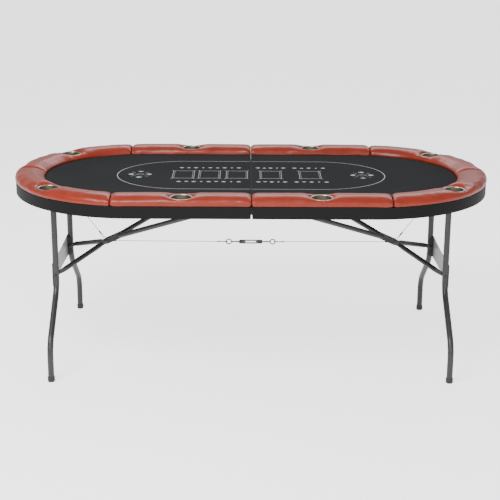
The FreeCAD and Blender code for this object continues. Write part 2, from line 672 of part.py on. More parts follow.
# --- everything ------------------------------------------------------------------------------
def half_table():
    parts = table_top()
    parts["leg_saddles"] = both_sides(leg_saddle())
    parts["brace_clevises"] = both_sides(brace_clevis())
    parts["brace_rivets"] = both_sides(brace_rivet())
    parts["bracket_screws"] = bracket_screws()
    parts.update(leg_frame())
    parts.update(upper_brace())
    parts.update(lower_brace())
    parts.update(wires())
    return parts


def all_parts():
    parts = {}
    for name, shape in half_table().items():
        parts["right_" + name] = shape
        parts["left_" + name] = shape.mirror(ORIGIN, X_AXIS)
    parts["right_eye_bolt"] = eye_bolt()
    parts["left_eye_bolt"] = eye_bolt().mirror(ORIGIN, X_AXIS)
    parts["turnbuckle_body"] = turnbuckle_body()
    leaves = Part.makeCompound([hinge_leaf(y, True) for y in HINGE_Y])
    knuckles = Part.makeCompound([hinge_leaf(y, False) for y in HINGE_Y])
    parts["right_hinge_leaves"] = leaves
    parts["left_hinge_leaves"] = knuckles.mirror(ORIGIN, X_AXIS)
    parts["hinge_pins"] = Part.makeCompound([hinge_pin(y) for y in HINGE_Y])
    return parts


os.makedirs("parts", exist_ok=True)
for node, solid in sorted(all_parts().items()):
    solid.exportStep("parts/" + node + ".step")
print("brace: top pivot x %.2f, arms %.2f and %.2f, slopes %.3f and %.3f degrees"
      % (BRACE_TOP_X, UPPER_ARM, LOWER_ARM, UPPER_SLOPE, LOWER_SLOPE))
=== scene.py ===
import math

import bmesh
import bpy
import numpy as np
from mathutils import Matrix, Vector


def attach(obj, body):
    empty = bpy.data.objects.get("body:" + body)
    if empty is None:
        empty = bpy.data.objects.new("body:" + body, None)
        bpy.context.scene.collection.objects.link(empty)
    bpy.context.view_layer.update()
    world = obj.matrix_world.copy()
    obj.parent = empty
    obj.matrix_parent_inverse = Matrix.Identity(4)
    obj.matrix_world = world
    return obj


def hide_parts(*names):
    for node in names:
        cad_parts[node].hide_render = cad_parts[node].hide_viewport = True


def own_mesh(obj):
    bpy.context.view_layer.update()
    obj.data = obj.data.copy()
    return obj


# Folding poker table. Lengths are millimetres, apart from those of the paints, the room and the camera,
# which are metres like the scene itself. X runs along the table, the front long side faces -Y, the floor
# is z = 0. Most pieces are built on the +X side and mirrored for the other half; the hardware keeps the
# shape of its CAD node.

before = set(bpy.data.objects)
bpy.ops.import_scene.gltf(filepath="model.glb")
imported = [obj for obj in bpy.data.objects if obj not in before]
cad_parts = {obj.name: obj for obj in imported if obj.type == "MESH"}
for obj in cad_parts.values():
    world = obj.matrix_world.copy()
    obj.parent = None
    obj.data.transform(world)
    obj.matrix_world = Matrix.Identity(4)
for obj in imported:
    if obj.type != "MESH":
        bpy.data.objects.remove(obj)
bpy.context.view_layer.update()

MM = 0.001
TAU = 2 * math.pi
SIDES = (("right", 1), ("left", -1))

STRAIGHT = 476.0              # half length of the straight sides
RAIL_OUTER, RAIL_INNER = 514.0, 396.0
RAIL_Z, CROWN_Z = 753.0, 786.0
SEAM_X, CORNER_X, CUSHION_GAP = 1.5, 545.0, 2.0
CLOTH_SEAM = 3.2              # the cloth is wrapped down before it reaches the seam
CLOTH_R, CLOTH_Z = 395.5, 759.6
CUP_RING, CUP_X, CUP_ANGLE = 458.0, 272.0, math.radians(43.7)
LEG_X, PIVOT_Z, BOLT_Z = 808.0, 722.0, 382.0
LEG_Y, FOOT_Y, LEG_R = 215.0, 440.0, 12.5
KNEE_X, KNEE_Z = 619.0, 466.0
BRACE_Y = 330.0               # where a long brace arm meets the table, from the middle line
UPPER_ARM, LOWER_ARM = 614.8795, 206.8260
UPPER_SLOPE, LOWER_SLOPE = math.radians(24.60384), math.radians(23.96248)
LOWER_TAB_Y = 197.7
ARM_R, TAB_HALF, TAB_R = 10.5, 2.0, 9.0
TIE_Z, STAY_Y = 464.0, -2.9
EYE_X, EYE_R, EYE_WIRE = 94.0, 10.5, 2.3
WIRE_R, SLEEVE_LENGTH = 1.2, 17.0
PIN_R, LOOP_R, PLAY = 4.0, 4.2, 0.3     # knee pin, loop through the eye, play of a loop on its pin
SCREW_R, SCREW_PITCH = 2.9, 1.25


# --- shader maths ----------------------------------------------------------------------------
class Value:
    """A number in a material's node tree, so that shader maths reads as arithmetic."""

    def __init__(self, paint, socket):
        self.paint, self.socket = paint, socket

    def math(self, operation, other):
        node = self.paint.node("ShaderNodeMath", operation=operation)
        for slot, value in zip(node.inputs, (self, other)):
            self.paint.feed(slot, value)
        return Value(self.paint, node.outputs[0])

    def __add__(self, other):
        return self.math("ADD", other)

    def __mul__(self, other):
        return self.math("MULTIPLY", other)

    def step(self, low, high):
        """0 below low, 1 above high, smooth between."""
        node = self.paint.node("ShaderNodeMapRange", interpolation_type="SMOOTHSTEP")
        self.paint.feed(node.inputs["Value"], self)
        node.inputs["From Min"].default_value = low
        node.inputs["From Max"].default_value = high
        return Value(self.paint, node.outputs["Result"])


class Paint:
    """A material with one Principled shader."""

    def __init__(self, name, color, rough, metal=0.0, **constants):
        self.material = bpy.data.materials.new(name)
        self.material.use_nodes = True
        self.tree = self.material.node_tree
        self.shader = self.tree.nodes["Principled BSDF"]
        self.set("Base Color", (*color, 1.0))
        self.set("Roughness", rough)
        self.set("Metallic", metal)
        for key, value in constants.items():
            self.set(key.replace("_", " "), value)
        self.material.diffuse_color = (*color, 1.0)

    def node(self, kind, **properties):
        made = self.tree.nodes.new(kind)
        for key, value in properties.items():
            setattr(made, key, value)
        return made

    def feed(self, slot, value):
        if isinstance(value, Value):
            self.tree.links.new(value.socket, slot)
        else:
            slot.default_value = value

    def set(self, name, value):
        self.feed(self.shader.inputs[name], value)

    def place(self, scale=(1, 1, 1)):
        """Object coordinates in metres, stretched."""
        coords = self.node("ShaderNodeTexCoord")
        mapping = self.node("ShaderNodeMapping")
        mapping.inputs["Scale"].default_value = scale
        self.tree.links.new(coords.outputs["Object"], mapping.inputs["Vector"])
        return mapping.outputs["Vector"]

    def noise(self, scale, detail=2.0, stretch=(1, 1, 1)):
        tex = self.node("ShaderNodeTexNoise")
        tex.inputs["Scale"].default_value = scale
        tex.inputs["Detail"].default_value = detail
        self.tree.links.new(self.place(stretch), tex.inputs["Vector"])
        return Value(self, tex.outputs[0])

    def cells(self, scale):
        tex = self.node("ShaderNodeTexVoronoi", feature="F1")
        tex.inputs["Scale"].default_value = scale
        self.tree.links.new(self.place(), tex.inputs["Vector"])
        return Value(self, tex.outputs["Distance"])

    def waves(self, scale, direction):
        tex = self.node("ShaderNodeTexWave", bands_direction=direction)
        tex.inputs["Scale"].default_value = scale
        self.tree.links.new(self.place(), tex.inputs["Vector"])
        return Value(self, tex.outputs["Fac"])

    def mix(self, share, a, b):
        """Colour between a and b; a Mix node's colour sockets come after those for numbers."""
        node = self.node("ShaderNodeMix", data_type="RGBA")
        self.feed(node.inputs["Factor"], share)
        for slot, color in ((6, a), (7, b)):
            node.inputs[slot].default_value = (*color, 1.0)
        return Value(self, node.outputs[2])

    def bump(self, height, distance, strength):
        node = self.node("ShaderNodeBump")
        node.inputs["Strength"].default_value = strength
        node.inputs["Distance"].default_value = distance
        self.feed(node.inputs["Height"], height)
        self.tree.links.new(node.outputs["Normal"], self.shader.inputs["Normal"])
        return self


def leatherette():
    paint = Paint(
        "brown_leatherette",
        (0.24, 0.020, 0.006),
        0.34,
        Specular_IOR_Level=0.38,
        Coat_Weight=0.05,
        Coat_Roughness=0.12,
    )
    grain = paint.cells(620.0)
    soft = paint.noise(14.0, 3.0)
    paint.set("Base Color", paint.mix(soft.step(0.25, 0.8), (0.215, 0.0165, 0.0045), (0.27, 0.024, 0.007)))
    paint.set("Roughness", soft * 0.08 + 0.28)
    return paint.bump(grain * 0.7 + paint.noise(240.0) * 0.5, 0.00005, 0.6)


def speed_cloth():
    paint = Paint("black_speed_cloth", (0.024, 0.025, 0.026), 0.95, Specular_IOR_Level=0.05)
    weave = paint.waves(260.0, "X") + paint.waves(260.0, "Y")
    blotch = paint.noise(5.0, 3.0)
    paint.set("Base Color", paint.mix(blotch, (0.019, 0.020, 0.021), (0.026, 0.027, 0.028)))
    return paint.bump(weave, 0.00012, 0.5)


def plywood():
    paint = Paint("black_stained_plywood", (0.03, 0.029, 0.028), 0.62)
    grain = paint.noise(9.0, 5.0, (1.0, 14.0, 3.0))
    paint.set("Base Color", paint.mix(grain.step(0.3, 0.75), (0.042, 0.039, 0.037), (0.020, 0.019, 0.018)))
    return paint.bump(grain, 0.0002, 0.4)


def satin_black(name, color, rough, grain, shine=0.5):
    """Paint or laminate with a faint orange peel."""
    paint = Paint(name, color, rough, Specular_IOR_Level=shine)
    speckle = paint.noise(grain, 2.0)
    paint.set("Roughness", speckle * 0.10 + (rough - 0.05))
    return paint.bump(speckle, 0.00006, 0.7)


def bright_metal(name, color, rough, stretch):
    """Plated or polished steel with fine drawn lines."""
    paint = Paint(name, color, rough, 1.0)
    lines = paint.noise(180.0, 2.0, stretch)
    paint.set("Roughness", lines * 0.12 + (rough - 0.05))
    return paint.bump(lines, 0.00003, 0.5)


PAINTS = {
    "brown_leatherette": leatherette(),
    "black_speed_cloth": speed_cloth(),
    "print": Paint("cloth_print", (0.42, 0.42, 0.41), 0.9, Specular_IOR_Level=0.2),
    "black_stained_plywood": plywood(),
    "foam": Paint("foam", (0.008, 0.008, 0.008), 0.95),
    "black_laminate": satin_black("black_laminate", (0.005, 0.005, 0.0055), 0.55, 420.0, 0.16),
    "black_powder_coat": satin_black("black_powder_coat", (0.028, 0.028, 0.029), 0.36, 900.0, 0.5),
    "black_painted_steel": satin_black("black_painted_steel", (0.016, 0.016, 0.017), 0.42, 700.0, 0.4),
    # painted light: the gusset sheet's grey stands for the light the plate catches, not for a grey paint
    "grey_painted_sheet": satin_black("grey_painted_sheet", (0.27, 0.27, 0.28), 0.4, 600.0),
    "black_plastic": satin_black("black_plastic", (0.02, 0.02, 0.02), 0.55, 500.0),
    "polished_stainless": bright_metal("polished_stainless", (0.46, 0.445, 0.41), 0.20, (1, 1, 1)),
    "satin_cup": bright_metal("satin_cup", (0.33, 0.295, 0.21), 0.42, (0.2, 0.2, 4)),
    "zinc_plated_steel": bright_metal("zinc_plated_steel", (0.055, 0.055, 0.058), 0.42, (1, 1, 1)),
    "steel_wire": bright_metal("steel_wire", (0.09, 0.09, 0.093), 0.45, (1, 1, 1)),
    "wire_ferrules": bright_metal("wire_ferrules", (0.06, 0.06, 0.062), 0.42, (1, 1, 1)),
}


# --- meshes ----------------------------------------------------------------------------------
# A shell is (vertices as an N x 3 array in millimetres, list of faces).
def merged(shells):
    verts, faces, base = [], [], 0
    for v, f in shells:
        verts.append(np.asarray(v, float))
        faces += [tuple(i + base for i in face) for face in f]
        base += len(v)
    return np.vstack(verts), faces


def moved(shell, offset=(0, 0, 0), matrix=None):
    v = np.asarray(shell[0], float)
    if matrix is not None:
        v = v @ np.asarray(matrix, float).T
    return v + np.asarray(offset, float), shell[1]


def mirrored(shell, axis):
    v = np.array(shell[0], float)
    v[:, axis] *= -1
    return v, [tuple(reversed(f)) for f in shell[1]]


def two_sided(shell):
    """The shell and its mirror image across the table's long axis."""
    return merged([shell, mirrored(shell, 1)])


def add(name, shell, paint, body, nodes=(), smooth=40.0):
    """A finished piece that rides on a body and stands for CAD nodes."""
    verts, faces = shell
    mesh = bpy.data.meshes.new(name)
    mesh.from_pydata((np.asarray(verts) * MM).tolist(), [], faces)
    mesh.update()
    return finish_piece(bpy.data.objects.new(name, mesh), paint, body, nodes, smooth)


def finish_piece(obj, paint, body, nodes=(), smooth=40.0):
    if obj.name not in bpy.context.scene.collection.objects:
        bpy.context.scene.collection.objects.link(obj)
    mesh = obj.data
    mesh.materials.clear()
    mesh.materials.append(PAINTS[paint].material)
    mesh.shade_smooth()
    if smooth:
        mesh.set_sharp_from_angle(angle=math.radians(smooth))
    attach(obj, body)
    if nodes:
        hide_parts(*nodes)
    return obj


def add_both(name, shell, paint, body, smooth=40.0):
    """The piece on the right half and its mirror image on the left, standing for their CAD nodes."""
    made = {}
    for side, sign in SIDES:
        part = shell if sign > 0 else mirrored(shell, 0)
        node = side + "_" + name
        made[side] = add(node + "_skin", part, paint, side + "_" + body, [node], smooth)
    return made


def ring_faces(rings, around, closed=False, caps=True):
    """Faces of a tube of rings of points."""
    faces = []
    last = rings if closed else rings - 1
    for i in range(last):
        a, b = i * around, (i + 1) % rings * around
        for j in range(around):
            k = (j + 1) % around
            faces.append((a + j, a + k, b + k, b + j))
    if caps and not closed:
        faces.append(tuple(range(around - 1, -1, -1)))
        faces.append(tuple((rings - 1) * around + j for j in range(around)))
    return faces


def route(points, bend, spacing=4.0):
    """Points along a polyline whose corners are arcs."""
    points = [np.asarray(p, float) for p in points]
    out, start = [], points[0]

    def line(a, b):
        steps = max(1, int(np.linalg.norm(b - a) / (spacing * 6)))
        return [a + (b - a) * i / steps for i in range(steps)]

    for before, corner, after in zip(points, points[1:], points[2:]):
        into = (corner - before) / np.linalg.norm(corner - before)
        away = (after - corner) / np.linalg.norm(after - corner)
        half = math.acos(np.clip(into @ away, -1, 1)) / 2
        back = bend * math.tan(half)
        first = corner - into * back
        out += line(start, first)
        middle = corner + (away - into) / np.linalg.norm(away - into) * bend / math.cos(half)
        steps = max(4, int(bend * 2 * half / spacing))
        side = (first - middle) / bend
        for i in range(steps):
            t = 2 * half * i / steps
            out.append(middle + bend * (side * math.cos(t) + into * math.sin(t)))
        start = corner + away * back
    return np.array(out + line(start, points[-1]) + [points[-1]])


def frames(path, closed=False):
    """Two normals at every point of a path, carried along without twist."""
    path = np.asarray(path, float)
    if closed:
        ways = np.roll(path, -1, 0) - np.roll(path, 1, 0)
    else:
        ways = np.gradient(path, axis=0)
    ways /= np.linalg.norm(ways, axis=1)[:, None]
    seed = np.eye(3)[np.argmin(np.abs(ways[0]))]
    normal = np.cross(ways[0], seed)
    one, two = [], []
    for way in ways:
        normal = normal - way * (normal @ way)
        normal /= np.linalg.norm(normal)
        one.append(normal)
        two.append(np.cross(way, normal))
    return np.array(one), np.array(two)


def tube(path, radius, around=32, caps=True, closed=False):
    """Round bar along a path; radius is a number or one per point."""
    path = np.asarray(path, float)
    radii = np.broadcast_to(np.asarray(radius, float), (len(path),))
    one, two = frames(path, closed)
    angles = np.arange(around) * TAU / around
    rim = np.cos(angles)[None, :, None] * one[:, None] + np.sin(angles)[None, :, None] * two[:, None]
    verts = path[:, None] + rim * radii[:, None, None]
    return verts.reshape(-1, 3), ring_faces(len(path), around, closed, caps)


def loft(centres, halves, up, around=32):
    """Flattened bar: at each centre a superellipse with (half height along up, half width, power)."""
    centres = np.asarray(centres, float)
    ways = np.gradient(centres, axis=0)
    ways /= np.linalg.norm(ways, axis=1)[:, None]
    up = np.asarray(up, float)
    sides = np.cross(ways, up)
    sides /= np.linalg.norm(sides, axis=1)[:, None]
    angles = np.arange(around) * TAU / around
    c, s = np.cos(angles), np.sin(angles)
    verts = []
    for centre, side, (high, wide, power) in zip(centres, sides, halves):
        a = np.sign(c) * np.abs(c) ** (2 / power) * high
        b = np.sign(s) * np.abs(s) ** (2 / power) * wide
        verts.append(centre + a[:, None] * up + b[:, None] * side)
    return np.vstack(verts), ring_faces(len(centres), around)


def lathe(profile, around=48):
    """Surface of revolution about Z of (radius, z) pairs; points on the axis close it."""
    profile = np.asarray(profile, float)
    angles = np.arange(around) * TAU / around
    verts, starts = [], []
    for r, z in profile:
        starts.append((len(verts), r > 1e-6))
        if r > 1e-6:
            verts += [(r * math.cos(t), r * math.sin(t), z) for t in angles]
        else:
            verts.append((0.0, 0.0, z))
    faces = []
    for (a, wide_a), (b, wide_b) in zip(starts, starts[1:]):
        for j in range(around):
            k = (j + 1) % around
            if wide_a and wide_b:
                faces.append((a + j, a + k, b + k, b + j))
            elif wide_b:
                faces.append((a, b + k, b + j))
            elif wide_a:
                faces.append((a + j, a + k, b))
    return np.array(verts), faces


def rounded(profile, radius, steps=4):
    """A (radius, z) polyline with its corners rounded."""
    pts = [np.asarray(p, float) for p in profile]
    out = [pts[0]]
    for before, corner, after in zip(pts, pts[1:], pts[2:]):
        a, b = before - corner, after - corner
        reach = min(radius, np.linalg.norm(a) / 2.01, np.linalg.norm(b) / 2.01)
        a, b = corner + a / np.linalg.norm(a) * reach, corner + b / np.linalg.norm(b) * reach
        for i in range(steps + 1):
            t = i / steps
            out.append((1 - t) ** 2 * a + 2 * t * (1 - t) * corner + t ** 2 * b)
    return out + [pts[-1]]


TO_Y = np.array([[0, 1, 0], [0, 0, 1], [1, 0, 0]], float)      # turns a lathe's axis from Z to Y


def turn_y(angle):
    """Turns X towards -Z."""
    c, s = math.cos(angle), math.sin(angle)
    return np.array([[c, 0, s], [0, 1, 0], [-s, 0, c]])


def refined(name, paint, body, bevel):
    """A CAD node's own shape with its edges eased."""
    flat, edge = math.radians(0.6), math.radians(35.0)      # less is one face, more is an edge to ease
    mesh = bpy.data.meshes.new(name + "_skin")
    bm = bmesh.new()
    bm.from_mesh(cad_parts[name].data)
    bmesh.ops.remove_doubles(bm, verts=bm.verts, dist=0.002 * MM)
    bmesh.ops.dissolve_limit(bm, angle_limit=flat, verts=bm.verts, edges=bm.edges)
    if bevel:
        sharp = [e for e in bm.edges if e.is_manifold and e.calc_face_angle(0) > edge]
        bmesh.ops.bevel(
            bm, geom=sharp, offset=bevel * MM, segments=2, affect="EDGES", profile=0.6, clamp_overlap=True
        )
    bm.to_mesh(mesh)
    bm.free()
    obj = finish_piece(bpy.data.objects.new(name + "_skin", mesh), paint, body, [name], 42.0)
    obj.modifiers.new("flat_faces", "WEIGHTED_NORMAL").keep_sharp = True
    return obj


def refined_both(name, paint, body, bevel):
    for side, _ in SIDES:
        refined(side + "_" + name, paint, side + "_" + body, bevel)


# --- cushions --------------------------------------------------------------------------------
CROWN_SWELL, FLANK_SWELL, LIP_ROLL = 2.6, 2.6, 8.0
END_ROLL, END_DIP = 6.0, 1.5  # fall of a cushion's ends, close to the seam and further in
HEM_PULL = 3.5                # how far the outer edge is pulled down over the apron
HOLE_R, RIM_Z = 47.6, 780.4   # where the cover meets a cup's flange
COVER_CELL = 5.2              # between the points of a cover
COVER_STEPS, QUICK_STEPS = 20, 4
MOST_PUFF = 4.5               # how far the foam may push a point of the cover


def ramp(value, low, high):
    """0 at low, 1 at high, straight between."""
    return np.clip((value - low) / (high - low), 0, 1)


def cup_centres(sign):
    x = STRAIGHT + CUP_RING * math.cos(CUP_ANGLE)
    y = CUP_RING * math.sin(CUP_ANGLE)
    return [(sign * CUP_X, -CUP_RING), (sign * x, -y), (sign * x, y), (sign * CUP_X, CUP_RING)]


def rail_radius(p):
    """Distance of points from the straight spine of the stadium."""
    over = np.maximum(np.abs(p[:, 0]) - STRAIGHT, 0.0)
    return np.hypot(over, p[:, 1])


def end_distance(p, corner):
    """Distance to the nearer of a cushion's two seams."""
    x, y = np.abs(p[:, 0]), np.abs(p[:, 1])
    gap = CUSHION_GAP / 2
    if corner:
        return np.minimum(x - CORNER_X - gap, y - gap)
    return np.minimum(x - SEAM_X, CORNER_X - gap - x)


def puffed(node, cup):
    """The cushion's cover, blown up by its foam as cloth that is held along its foot and round the cup."""
    obj = bpy.data.objects.new(node + "_cover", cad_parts[node].data.copy())
    bpy.context.scene.collection.objects.link(obj)
    remesh = obj.modifiers.new("even", "REMESH")
    remesh.mode = "VOXEL"
    remesh.voxel_size = COVER_CELL * MM
    bpy.context.view_layer.update()
    mesh = bpy.data.meshes.new_from_object(obj.evaluated_get(bpy.context.evaluated_depsgraph_get()))
    obj.modifiers.clear()
    obj.data = mesh
    rest = np.array([v.co for v in mesh.vertices]) / MM
    from_cup = np.hypot(rest[:, 0] - cup[0], rest[:, 1] - cup[1])
    held = (rest[:, 2] < RAIL_Z + 4.0) | (from_cup < 46.0)
    group = obj.vertex_groups.new(name="held")
    group.add(np.nonzero(held)[0].tolist(), 1.0, "REPLACE")
    cloth = obj.modifiers.new("cover", "CLOTH")
    for setting, value in (
        ("quality", 5),
        ("mass", 0.25),
        ("tension_stiffness", 18.0),
        ("compression_stiffness", 18.0),
        ("shear_stiffness", 4.0),
        ("bending_stiffness", 0.6),
        ("use_pressure", True),
        ("uniform_pressure_force", 4.0),
        ("vertex_group_mass", "held"),
        ("shrink_min", -0.035),
    ):
        setattr(cloth.settings, setting, value)
    cloth.settings.effector_weights.gravity = 0.0
    cloth.point_cache.frame_start = 1
    cloth.point_cache.frame_end = COVER_STEPS
    scene = bpy.context.scene
    last = COVER_STEPS
    for step in range(1, last + 1):
        scene.frame_set(step)
        bpy.context.view_layer.update()
    done = obj.evaluated_get(bpy.context.evaluated_depsgraph_get()).to_mesh()
    puff = np.array([v.co for v in done.vertices]) / MM
    faces = [tuple(p.vertices) for p in mesh.polygons]
    bpy.data.objects.remove(obj)
    scene.frame_set(1)
    shift = puff - rest
    length = np.linalg.norm(shift, axis=1)
    shift *= (np.minimum(length, MOST_PUFF) / np.maximum(length, 1e-6))[:, None]
    return relaxed(rest, faces, 3), relaxed(shift, faces, 14), faces


def relaxed(points, faces, rounds):
    """Averages every point with its neighbours, so that the cover has no jitter from its grid."""
    edges = np.array([(f[i - 1], f[i]) for f in faces for i in range(len(f))])
    edges = np.vstack([edges, edges[:, ::-1]])
    count = np.bincount(edges[:, 0], minlength=len(points))[:, None]
    for _ in range(rounds):
        sums = [
            np.bincount(edges[:, 0], weights=points[edges[:, 1], k], minlength=len(points)) for k in range(3)
        ]
        points = 0.5 * points + 0.5 * np.stack(sums, 1) / np.maximum(count, 1)
    return points


def dressed(rest, shift, corner, cup, seed):
    """Adds what the cover's cut gives: dips at the seams, gathers round the cup, long soft wrinkles."""
    rng = np.random.default_rng(seed)
    p = rest + shift
    radius = rail_radius(rest)
    share = ramp(radius, RAIL_INNER, RAIL_OUTER)
    height = ramp(rest[:, 2], RAIL_Z, CROWN_Z)
    top = ramp(height, 0.25, 1.0)
    end = np.maximum(end_distance(rest, corner), 0.0)

    # the outer flank swells over the apron; at the table's ends the inner edge rolls over the cloth
    over = np.maximum(np.abs(rest[:, 0]) - STRAIGHT, 0.0)
    flank = FLANK_SWELL * np.sin(math.pi * height) ** 2 * ramp(radius, 482.0, 506.0)
    lip = LIP_ROLL * (over / radius) ** 2 * ramp(radius, RAIL_INNER + 16.0, RAIL_INNER)
    out = flank - lip * ramp(rest[:, 2], 757.0, 763.0)
    p[:, 0] += out * over / radius * np.sign(rest[:, 0])
    p[:, 1] += out * rest[:, 1] / radius

    # both ends roll down into the seam
    roll = np.clip(1 - end / 20.0, 0, 1)
    p[:, 2] -= top * (END_ROLL * roll ** 2.2 + END_DIP * np.exp(-end / 60.0))

    # gathers that run out from the cup
    dx, dy = rest[:, 0] - cup[0], rest[:, 1] - cup[1]
    away = np.hypot(dx, dy)
    angle = np.arctan2(dy, dx)
    folds = np.zeros(len(p))
    for _ in range(8):
        way = rng.uniform(0, TAU)
        width = rng.uniform(0.09, 0.18)
        reach = rng.uniform(14.0, 34.0)
        turn = (angle - way + math.pi) % TAU - math.pi
        folds += rng.uniform(0.3, 0.8) * np.exp(-((turn / width) ** 2)) * np.exp(-(away - 46.0) / reach)
    rim = ramp(away, 41.0, 47.0)
    mid = np.clip(1.4 - 2.8 * np.abs(share - 0.5), 0, 1)
    p[:, 2] += top * rim * (CROWN_SWELL - folds * mid)
    # and the cover is drawn down to the cup's flange
    p[:, 2] -= np.maximum(p[:, 2] - RIM_Z, 0.0) * np.exp(-np.maximum(away - 47.0, 0.0) / 6.0)

    # it ends in a clean round hole just outside the flange
    px, py = p[:, 0] - cup[0], p[:, 1] - cup[1]
    now = np.hypot(px, py)
    round_cup = (away < 54.0) & (rest[:, 2] > 775.0)
    spread = np.where(round_cup, np.maximum(now, HOLE_R) / np.maximum(now, 1e-6), 1.0)
    p[:, 0], p[:, 1] = cup[0] + px * spread, cup[1] + py * spread

    # drag lines along the cushion, stronger on its shoulders
    if corner:
        along = np.arctan2(rest[:, 1], np.maximum(np.abs(rest[:, 0]) - STRAIGHT, 1.0)) * 450
    else:
        along = rest[:, 0]
    wave = np.zeros(len(p))
    for _ in range(6):
        wave += np.sin(along / rng.uniform(26.0, 90.0) + share * rng.uniform(-5, 5) + rng.uniform(0, TAU))
    shoulder = np.exp(-(((share - 0.12) / 0.16) ** 2)) + np.exp(-(((share - 0.9) / 0.12) ** 2))
    p[:, 2] += top * wave * (0.05 + 0.07 * shoulder)

    # the cover's outer edge is pulled down over the apron
    p[:, 2] -= HEM_PULL * ramp(radius, 509.0, 512.0) * np.clip(1 - height / 0.4, 0, 1)
    return p


def kept_in(p, corner):
    """Stops the cover short of its neighbours; at the centre seam the two halves' covers nearly meet."""
    gap = CUSHION_GAP / 2 - 0.35
    sx, sy = np.sign(p[:, 0]), np.sign(p[:, 1])
    ax, ay = np.abs(p[:, 0]), np.abs(p[:, 1])
    if corner:
        ax, ay = np.maximum(ax, CORNER_X + gap), np.maximum(ay, gap)
    else:
        ax = np.clip(ax - 1.2 * np.exp(-np.maximum(ax - SEAM_X, 0) / 4.0), 0.4, CORNER_X - gap)
    over = np.maximum(ax - STRAIGHT, 0.0)
    reach = np.hypot(over, ay)
    inner = RAIL_INNER - 2.5 - LIP_ROLL * (over / np.maximum(reach, 1.0)) ** 2
    limit = np.clip(reach, inner, RAIL_OUTER + 4.0) / np.maximum(reach, 1e-6)
    ax = np.where(over > 0, STRAIGHT + over * limit, ax)
    return np.stack([ax * sx, ay * limit * sy, np.clip(p[:, 2], RAIL_Z - 4.0, CROWN_Z + 6.0)], 1)


def cushions():
    """Two covers are blown up, a straight one and a corner one; each of the eight is dressed by itself."""
    seed = 11
    for kind, corner, cup_index in (("front_cushion", False, 0), ("front_corner_cushion", True, 1)):
        cup = cup_centres(1)[cup_index]
        rest, shift, faces = puffed("right_" + kind, cup)
        for side, sx in SIDES:
            for row, sy in (("front", 1), ("rear", -1)):
                seed += 7
                p = kept_in(dressed(rest, shift, corner, cup, seed), corner)
                p *= (sx, sy, 1)
                turned = faces if sx * sy > 0 else [tuple(reversed(f)) for f in faces]
                node = f"{side}_{row}_{kind.split('_', 1)[1]}"
                piece = add(node + "_cover", (p, turned), "brown_leatherette", side + "_half", [node], 0)
                fine = piece.modifiers.new("fine", "SUBSURF")
                fine.levels = fine.render_levels = 1


# --- cups ------------------------------------------------------------------------------------
def cups():
    """Drawn steel cups: rolled flange, straight wall, rounded floor."""
    wall = [(0, 736), (31, 736), (37.5, 738), (39.4, 742), (39.5, 776.9), (45.6, 777.3), (46.6, 777.6)]
    flange = [(46.6, 777.6), (46.8, 778.2), (46.3, 778.9), (44.6, 779.2), (41.9, 779.2), (39.9, 778.9)]
    throat = [(39.9, 778.9), (39.2, 778.4), (38.7, 777.4)]
    inside = [(38.7, 777.4), (38.4, 745), (37.4, 740.5), (34.5, 737.8), (30, 737), (16, 737), (0, 737.2)]
    for side, sign in SIDES:
        bright, dull = [], []
        for x, y in cup_centres(sign):
            bright.append(moved(lathe(rounded(flange, 0.4) + rounded(throat, 1.0)[1:], 72), (x, y, 0)))
            dull.append(moved(lathe(rounded(wall, 1.0), 72), (x, y, 0)))
            dull.append(moved(lathe(rounded(inside, 3.0), 72), (x, y, 0)))
        node = side + "_cup_holders"
        add(node + "_flanges", merged(bright), "polished_stainless", side + "_half", [node], 30.0)
        add(node + "_cups", merged(dull), "satin_cup", side + "_half", [node], 30.0)


# --- cloth and its print ---------------------------------------------------------------------
def half_stadium(radius, x0):
    """Outline of a half table, anticlockwise from the front seam corner."""
    line = [(x, -radius) for x in np.linspace(x0, STRAIGHT, 12)]
    angles = np.linspace(0, math.pi, 97)[1:-1]
    turn = [(STRAIGHT + radius * math.sin(t), -radius * math.cos(t)) for t in angles]
    back = [(x, radius) for x in np.linspace(STRAIGHT, x0, 12)]
    return np.array(line + turn + back)


def cloth():
    """Speed cloth over the foam, its edge turned down."""
    outline = half_stadium(CLOTH_R, CLOTH_SEAM)
    steps = [(0.0, -1.6), (0.0, -0.9), (0.35, -0.3), (1.2, 0.0), (60.0, 0.0)]
    centre = np.array([STRAIGHT / 2, 0.0])
    verts = []
    for inset, drop in steps:
        scale = 1 - inset / CLOTH_R
        ring = centre + (outline - centre) * scale
        ring[:, 0] = np.maximum(ring[:, 0], CLOTH_SEAM + inset)
        verts.append(np.column_stack([ring, np.full(len(ring), CLOTH_Z + drop)]))
    around = len(outline)
    faces = ring_faces(len(steps), around, caps=False)
    faces.append(tuple((len(steps) - 1) * around + j for j in range(around)))
    shell = (np.vstack(verts), faces)
    for side, piece in add_both("speed_cloth", shell, "black_speed_cloth", "half", 60.0).items():
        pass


def stroke(points, width, closed=False):
    """Flat band along a 2D line."""
    pts = np.asarray(points, float)
    ways = (np.roll(pts, -1, 0) - np.roll(pts, 1, 0)) if closed else np.gradient(pts, axis=0)
    ways /= np.linalg.norm(ways, axis=1)[:, None]
    side = np.column_stack([-ways[:, 1], ways[:, 0]]) * width / 2
    verts = np.vstack([pts + side, pts - side])
    n = len(pts)
    faces = [(i, n + i, n + (i + 1) % n, (i + 1) % n) for i in range(n if closed else n - 1)]
    return np.column_stack([verts, np.zeros(2 * n)]), faces


def patch(points):
    """Filled flat outline."""
    pts = np.asarray(points, float)
    return np.column_stack([pts, np.zeros(len(pts))]), [tuple(range(len(pts)))]


def circle(x, y, r, steps=20):
    return [(x + r * math.cos(t), y + r * math.sin(t)) for t in np.arange(steps) * TAU / steps]


